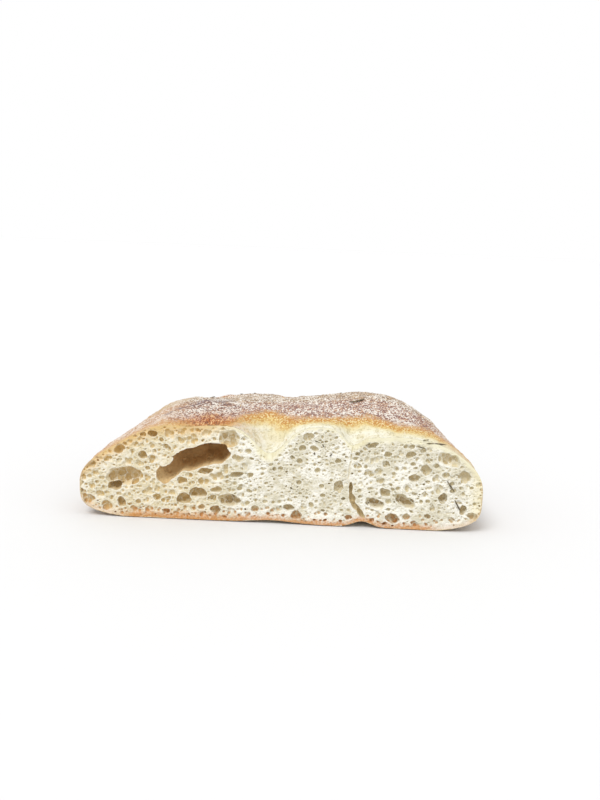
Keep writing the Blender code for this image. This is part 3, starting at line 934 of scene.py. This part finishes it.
def makeCrust():
    over = np.linspace(0, math.pi, crust["columnsOver"], endpoint=False)
    under = np.linspace(math.pi, 2 * math.pi, crust["columnsUnder"], endpoint=False)
    turns = np.concatenate([over, under])
    middle = math.asin(crust["frontReach"]) / (math.pi / 2)
    rows = np.concatenate([np.linspace(0, middle, crust["rowsFront"], endpoint=False),
                           np.linspace(middle, 1, crust["rowsBack"])])
    turn, reach = np.meshgrid(turns, np.sin(rows[:-1] * math.pi / 2), indexing="ij")
    x, y, z = loafSurface(turn, reach)
    points = np.stack([x, y, z], -1)
    maps = bakeMaps(x, y, z, np.sin(turn) < 0)
    print("crust baked")

    # outward normals from differences over the closed turn and along the rows
    around = np.roll(points, -1, 0) - np.roll(points, 1, 0)
    normal = np.cross(np.gradient(points, axis=1), around)
    normal /= np.linalg.norm(normal, axis=-1, keepdims=True) + 1e-12
    relief = crustRelief(x, y, z, np.sin(turn) >= -0.02, maps["bake"]) * smooth(1.0, 0.985, reach)
    points = points + normal * relief[..., None]
    points[..., 2] = np.maximum(points[..., 2], 0.0)

    rings = crustRings(points[:, 0], normal[:, 0], z[:, 0], maps["bake"][:, 0])
    lipRows = rings.shape[1]
    points = np.concatenate([rings, points], 1)
    maps = {key: np.pad(whole, ((0, 0), (lipRows, 0)), "edge") for key, whole in maps.items()}
    maps["lip"] = np.zeros(points.shape[:2])
    maps["lip"][:, :lipRows] = 1

    split = lipRows + crust["rowsFront"]
    pieces = []
    for name, part in (("crust_front", np.s_[:, :split + 1]), ("crust_back", np.s_[:, split:])):
        around, along = points[part].shape[:2]
        faces = [closedGrid(around, along)]
        flat = points[part].reshape(-1, 3)
        values = {key: whole[part].ravel() for key, whole in maps.items()}
        if name == "crust_back":
            # the back end closes on one point
            last = np.arange(around) * along + along - 1
            faces.append(np.stack([last, np.roll(last, -1), np.full(around, around * along)], -1))
            flat = np.concatenate([flat, [[0.0, cutY + loaf["depth"], points[:, -1, 2].mean()]]])
            values = {key: np.append(whole, whole[-1]) for key, whole in values.items()}
        pieces.append(addMesh(name, flat, faces, values))
    return pieces


crustPieces = makeCrust()


# Herb needles: on the crust and across the cut
herbs = {
    "length": 8.0 * mm,
    "radius": 0.38 * mm,
    "onCrust": 13,
    "turns": (0.12, 0.88),
    "reaches": (0.60, 0.95),
    "least": 64,  # mm behind the cut, and more in the middle, so that they lie beyond the crest
    "crest": (0.304, 0.317, 2.75),  # the one seen over the crest: turn, reach, heading
    "step": 0.02,
    "lift": 0.25 * mm,
    # x, z, length, tilt in degrees
    "inCrumb": inMetres((
        (60.6, 35.2, 8, -2), (67.2, 18.4, 5.6, -54), (70.3, 10.9, 5, -60),
    ), 3),
    "proud": 0.30 * mm,  # how far those in the crumb stand before the cut
    # slivers left where the knife cut through a needle: x, z, length, tilt
    "slivers": inMetres((
        (14.6, 33.8, 4, -22), (16.4, 32.5, 1.6, -60), (54.8, 33.6, 3.6, -12), (56.3, 36.6, 2.6, 4),
        (19.6, 29, 1.6, 55), (13.1, 29.2, 1.4, -80), (33.8, 33.8, 2, 24),
    ), 3),
    "sliverRadius": 0.26 * mm,
    "sliverProud": 0.12 * mm,
    "sliverInward": 0.25,
    "ripple": 0.12,
    "bow": 0.10,
    "flatness": 0.75,
    "around": 8,
    "along": 11,
}


def needlePoints(middle, direction, length, draw, width):
    # a tube whose radius is the root of 1 less the fourth power of the place along it, from -1 to 1, so
    # that both ends are blunt, rippled, bowed to one side and flattened
    direction = np.array(Vector(direction).normalized())
    side = np.cross(direction, (0, 0, 1))
    side /= np.linalg.norm(side)
    up = np.cross(side, direction)
    turns = np.arange(herbs["around"]) / herbs["around"] * 2 * math.pi
    t, turn = np.meshgrid(np.linspace(-1, 1, herbs["along"]), turns)
    ripple = 1 + herbs["ripple"] * np.sin(5 * t + draw(0, 6))
    radius = width * np.sqrt(np.maximum(1 - t ** 4, 0.01)) * ripple
    bow = draw(-herbs["bow"], herbs["bow"]) * length * (1 - t * t)
    place = np.array(middle) + t[..., None] * length / 2 * direction
    place = place + (radius * np.cos(turn) + bow)[..., None] * side
    return (place + (herbs["flatness"] * radius * np.sin(turn))[..., None] * up).reshape(-1, 3)


def makeNeedles():
    draw = np.random.default_rng(crumb["seed"] + 1).uniform
    shaping = np.random.default_rng(crumb["seed"] + 2).uniform
    groups = []
    places = [herbs["crest"]]
    while len(places) <= herbs["onCrust"]:
        turnShare, reach = draw(*herbs["turns"]), draw(*herbs["reaches"])
        across = endX * math.cos(turnShare * math.pi) / mm
        heading = draw(0, 2 * math.pi)
        if loaf["depth"] * reach / mm > herbs["least"] + 24 * hill(across, -12, 17):
            places.append((turnShare, reach, heading))
    for turnShare, reach, heading in places:
        turn = turnShare * math.pi + herbs["step"] * math.cos(heading) * np.arange(2)
        reach = reach + herbs["step"] * math.sin(heading) * np.arange(2)
        here, ahead = np.stack(loafSurface(turn, reach), -1)
        middle = here + (0, 0, herbs["lift"])
        groups.append(needlePoints(middle, ahead - here, herbs["length"], shaping, herbs["radius"]))
    for rows, proud, inward, width in (
            (herbs["inCrumb"], herbs["proud"], 0.0, herbs["radius"]),
            (herbs["slivers"], herbs["sliverProud"], herbs["sliverInward"], herbs["sliverRadius"])):
        for x, z, length, tilt in rows:
            along = (math.cos(math.radians(tilt)), inward, math.sin(math.radians(tilt)))
            groups.append(needlePoints((x, cutY - proud, z), along, length, shaping, width))
    quads = closedGrid(herbs["around"], herbs["along"])[:, [0, 3, 2, 1]]
    faces = np.concatenate([quads + k * len(groups[0]) for k in range(len(groups))])
    return addMesh("herb_needles", np.concatenate(groups), faces)


needlePiece = makeNeedles()


# Loose crumbs and flour clumps along the base and on the crust
bits = {
    "onCrust": 150,
    "atBase": 90,
    "radii": (0.16 * mm, 0.42 * mm),
    "dents": (0.7, 1.3),
    "squash": (0.6, 1.2),
    "seed": 23,
}


def makeBits():
    # each bit is a twenty-sided ball, squashed and dented by its own random numbers
    golden = (1 + 5 ** 0.5) / 2
    signs = itertools.product((-1, 1), (-golden, golden))
    ball = np.array([p for a, b in signs for p in ((0, a, b), (a, b, 0), (b, 0, a))], float)
    ball /= np.linalg.norm(ball[0])
    near = np.linalg.norm(ball[:, None] - ball[None], axis=-1)
    close = near < 1.1 * near[near > 0].min()
    corners = np.array([c for c in itertools.combinations(range(12), 3)
                        if close[c[0], c[1]] and close[c[1], c[2]] and close[c[0], c[2]]])
    first, second, third = ball[corners.T]
    turned = (np.cross(second - first, third - first) * first).sum(1) < 0
    corners[turned] = corners[turned][:, ::-1]
    draw = np.random.default_rng(bits["seed"]).uniform
    onCrust, atBase = bits["onCrust"], bits["atBase"]
    count = onCrust + atBase
    turn = np.concatenate([draw(0.12, 0.88, onCrust), draw(-0.9, -0.1, atBase)])
    reach = np.concatenate([draw(0.01, 0.95, onCrust), draw(0, 0.02, atBase)])
    place = np.stack(loafSurface(turn * math.pi, reach), -1)
    radius = draw(*bits["radii"], count)
    place[:, 2] = np.maximum(place[:, 2], 0.6 * radius)
    dents, squash = draw(*bits["dents"], (count, 12, 1)), draw(*bits["squash"], (count, 1, 3))
    points = place[:, None] + ball[None] * dents * squash * radius[:, None, None]
    points[..., 2] = np.maximum(points[..., 2], 0.0)
    faces = np.concatenate([corners + 12 * k for k in range(count)])
    return addMesh("flour_bits", points.reshape(-1, 3), faces)


bitsPiece = makeBits()


# Finishes
def nearEnds(x):
    # 1 towards both ends of the cut
    return x.step(0.057, 0.066) + 1 - x.step(-0.066, -0.057)


def crumbFinish():
    f = Finish("crumb")
    deep, fromTop, fromBase = f.read("deep", "fromTop", "fromBase")
    wall, hollow, pocket, smear = f.read("wall", "hollow", "pocket", "smear")
    x = f.across()
    left = 1 - x.step(-0.036, -0.012)
    tip = 1 - x.step(-0.076, -0.056)
    right = x.step(0.022, 0.044)
    broad = f.noise(7.0, 2)
    mottle = f.noise(1.6, 3, 0.6)
    fine = f.noise(0.7, 3, 0.65)
    streaks = f.noise(1.5, 3, 0.6, (1.0, 0.3, 0.3))
    f.colour = f.mix(broad.step(0.42, 0.58), (252, 249, 238), (224, 217, 194))
    f.cover((mottle * 0.5 + fine * 0.5).step(0.49, 0.59) * 0.55, (208, 200, 170))
    f.cover(left * (0.5 - tip * 0.1), (226, 206, 156))
    # painted shade: hollows and deeper places turn a darker tan, more golden on the left, and thin walls
    # get a painted highlight
    inside = f.mix(left, (222, 207, 168), (222, 192, 132))
    inside = f.mix(deep.step(1.2, 4.0) * 0.5, inside, (200, 162, 100))
    inside = f.mix(mottle.step(0.52, 0.66) * 0.5, inside, (240, 230, 200))
    hollowShade = (hollow - 0.5).step(0.03, 0.26) * (mottle * 0.6 + 0.4) + (wall - 0.5).step(0.03, 0.22) * 0.25
    f.cover((hollowShade + deep.step(0.5, 2.0) * 0.7).clamp(), inside)
    # painted highlight on the thin walls, in patches
    f.cover((0.5 - wall).step(0.02, 0.13) * fine.step(0.34, 0.50) * 0.6, (251, 248, 236))
    # golden under the crust on the left, pale elsewhere
    nearTop = 1 - (fromTop + (mottle - 0.5) * 4.0).step(0.2, 1.8 + right * 1.7 + left * 4.7)
    nearTop = nearTop * (0.85 - left * (0.12 - (hollow - 0.5).step(0.0, 0.2) * 0.12))
    f.cover(nearTop, f.mix(left, (246, 239, 204), (229, 186, 108)))
    pale = f.mix(streaks.step(0.40, 0.62), (250, 244, 212), (234, 224, 184))
    f.cover((smear * 1.5 - mottle * 0.6).clamp() * 0.9, pale)
    f.cover(x.step(0.0725, 0.0790) * (1 - mottle * 0.5) * 0.8, (241, 229, 186))
    # toasted at the base, less so towards both ends
    corner = nearEnds(x) * 0.65
    toasted = (hollow - 0.5).step(0.05, 0.25) * (1 - fromBase.step(3.0, 6.5)) * (1 - corner)
    f.cover(toasted * 0.85, (214, 154, 98))
    base = 1 - (fromBase + (mottle - 0.5) * 5.0).step(0.3, 3.2 + left * 0.9)
    base = base * (1 - corner) * (fine.step(0.35, 0.6) * 0.2 + 0.75 + left * 0.05)
    f.cover(base, (204, 140, 70))
    # the pocket, with painted shade darker further in, darker in faint random patches, and the paler crack
    cave = f.mix(deep.step(1.0, 11.0), (236, 208, 156), (208, 168, 112))
    cave = f.mix(mottle.step(0.46, 0.64) * 0.35, cave, (166, 124, 76))
    cave = f.mix(x.step(0.010, 0.020) * 0.7, cave, (236, 222, 182))
    f.cover(pocket, cave)
    return f.finished(0.8, fine, 0.6, 0.2)


def crustFinish():
    f = Finish("crust", "top")
    bake, orange, creaseShadeAndTone, shoulder = f.read("bake", "orange", "creaseShadeAndTone", "shoulder")
    crest, low, under, lip, rear = f.read("crest", "low", "under", "lip", "rear")
    # grains are longer towards the back
    grain = f.noise(1.15, 2, 0.65, (1.0, 0.5, 1.0))
    speck = f.noise(0.72, 2, 0.65, (0.8, 0.5, 1.0))
    shade = f.noise(0.9, 2, 0.65, (0.9, 0.5, 1.1))
    mottle = f.noise(2.8, 3, 0.6)
    drift = f.noise(7.0, 3)
    wide = f.noise(16.0, 2)
    fleck = f.noise(0.5, 1, 0.5, (0.8, 0.45, 1.0))
    wisps = f.noise(1.2, 2, 0.6, (0.42, 0.6, 1.0))
    strands = f.noise(0.85, 2, 0.6, (1.0, 0.22, 0.6))
    streaks = f.noise(1.5, 3, 0.6, (1.0, 0.3, 0.3))
    loose = (speck - 0.5) * 0.30 + (grain - 0.5) * 0.20 + (mottle - 0.5) * 0.20
    baked = (bake + loose * bake.step(0.02, 0.35)).clamp()
    x = f.across()
    leftSide = 1 - x.step(-0.026, -0.014)
    f.colour = f.ramp(baked, (
        (0.0, (255, 251, 230)),
        (0.14, (251, 242, 204)),
        (0.32, (238, 210, 134)),
        (0.48, (229, 188, 102)),
        (0.64, (215, 160, 94)),
        (0.84, (206, 158, 122)),
        (1.0, (206, 164, 134)),
    ))
    grit = streaks * 0.3 + speck * 0.3 + fleck * 0.2 + mottle * 0.2
    unbaked = 1 - bake.step(0.05, 0.4)
    f.cover(unbaked * (drift * 0.6 + mottle * 0.4).step(0.46, 0.60) * 0.5, (238, 222, 168))
    f.cover(unbaked * grit.step(0.50, 0.58) * 0.75, (210, 198, 156))
    # orange and pale grains in the golden band
    band = bake.step(0.15, 0.45) * (1 - bake.step(0.8, 1.0))
    f.cover(band * (shade * 0.4 + fleck * 0.6).step(0.48, 0.55) * 0.8, (200, 134, 58))
    f.cover(band * (speck * 0.4 - fleck * 0.6).step(-0.08, -0.02) * 0.8, (254, 236, 186))
    tan = f.mix(wisps.step(0.42, 0.60), (234, 204, 168), (212, 162, 118))
    f.cover(shoulder * 0.6, tan)
    f.cover(crest * 0.6, (212, 189, 148))
    f.cover(low * 0.5, (222, 184, 128))
    # well browned beyond the crest, with broad bare and floury patches
    browned = f.mix((mottle * 0.5 + drift * 0.5).step(0.42, 0.58), (222, 176, 108), (200, 134, 84))
    browned = f.mix((wide * 0.6 + mottle * 0.4).step(0.50, 0.60) * 0.75, browned, (172, 112, 92))
    f.cover(rear * 0.85, browned)
    # painted shade in flecks between the flour grains, then white flour over them
    floury = baked.step(0.62, 0.92) * (1 - shoulder * 0.35)
    grainShade = f.mix(leftSide, (134, 98, 94), (100, 68, 68))
    grainShade = f.mix(crest, grainShade, (146, 120, 100))
    shadeFlecks = ((shade - 0.5) * 0.4 - (fleck - 0.5) * 0.4 + (wisps - 0.5) * 0.2).step(-0.03, 0.04)
    # painted shade flecks between the flour grains
    f.cover(floury * (1 - rear * 0.5) * (1 - shoulder * 0.7) * shadeFlecks * 0.85, grainShade)
    patchy = (drift - 0.5) * (0.35 + leftSide * 0.2) + (wide - 0.5) * rear * 0.25
    patchy = patchy + leftSide * 0.01 - rear * 0.02 - (wisps - 0.5) * 0.15
    patchy = patchy.math("MINIMUM", patchy, 0.05)
    flour = (speck * 0.3 + fleck * 0.55 + grain * 0.15 + patchy).step(0.50, 0.56) * floury
    f.cover(flour * (0.98 - orange * 0.5 - rear * 0.2), (255, 247, 235))
    # painted shade along the crease, and a purple-brown tone in streaks beside it
    f.cover(creaseShadeAndTone * (0.45 + (fleck * 0.5 + grain * 0.5).step(0.42, 0.54) * 0.5), (104, 78, 90))
    scorched = orange * ((strands * 0.6 + speck * 0.4).step(0.43, 0.54) * 0.75 + 0.45)
    f.cover(scorched.clamp(), (190, 104, 38))
    embers = strands * 0.7 + fleck * 0.3
    f.cover(orange * embers.step(0.53, 0.58), (255, 218, 162))
    f.cover(orange * embers.step(0.47, 0.42), (124, 60, 24))
    lower = f.mix(mottle.step(0.38, 0.62), (216, 170, 112), (190, 128, 74))
    lower = f.mix(speck.step(0.5, 0.62) * 0.6, lower, (240, 228, 206))
    f.cover(under, lower)
    edge = f.mix(grain.step(0.42, 0.56), (242, 224, 184), (208, 144, 76))
    edge = f.mix(nearEnds(x) * 0.75, edge, (238, 222, 178))
    f.cover(lip * low * 0.9, edge)
    return f.finished(0.75, speck * 0.6 + grain, 0.8, 0.35)


def spottedFinish(name, size, reach, colours, roughness, grain):
    # two colours in spots of one size, over bumps of another
    f = Finish(name)
    f.colour = f.mix(f.noise(size, 3).step(*reach), *colours)
    return f.finished(roughness, f.noise(*grain), 0.4, 0.1)


herb = spottedFinish("herb", 1.2, (0.4, 0.65), ((84, 72, 52), (142, 126, 86)), 0.6, (1.2, 3))
flour = spottedFinish("flour", 1.5, (0.4, 0.62), ((244, 238, 226), (228, 196, 152)), 0.9, (0.3, 2))
for pieces, material in ((crumbPieces, crumbFinish()), (crustPieces, crustFinish()),
                         ([needlePiece], herb), ([bitsPiece], flour)):
    for piece in pieces:
        piece.data.materials.append(material)
        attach(piece, "root")
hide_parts("focaccia_half")
print("finishes set")


# Floor and light
studio = {
    "floorRadius": 8.0,
    "floorDrop": 0.3 * mm,
    "floorTone": (0.69, 0.69, 0.69, 1.0),
    "world": (1.0, 1.0, 1.0, 1),
    "worldStrength": 1.0,
    "sunStrength": 1.7,
    "sunAngle": 30,  # degrees across, for soft shadows
    "sunFrom": (-0.25, -0.50, 0.83),
}


def makeStudio():
    corners = [(x * studio["floorRadius"], y * studio["floorRadius"], -studio["floorDrop"])
               for x, y in ((-1, -1), (1, -1), (1, 1), (-1, 1))]
    floor = addMesh("floor", corners, np.array([(0, 1, 2, 3)]))
    f = Finish("floor")
    f.set(Base_Color=studio["floorTone"], Roughness=0.9)
    floor.data.materials.append(f.material)
    world = bpy.data.worlds.new("studio")
    world.use_nodes = True
    background = world.node_tree.nodes["Background"]
    background.inputs["Color"].default_value = studio["world"]
    background.inputs["Strength"].default_value = studio["worldStrength"]
    bpy.context.scene.world = world
    lamp = bpy.data.lights.new("sun", "SUN")
    lamp.angle = math.radians(studio["sunAngle"])
    lamp.energy = studio["sunStrength"]
    sun = addObject("sun", lamp)
    sun.rotation_euler = (-Vector(studio["sunFrom"])).to_track_quat("-Z", "Y").to_euler()
    bpy.context.scene.view_settings.view_transform = "Standard"


makeStudio()
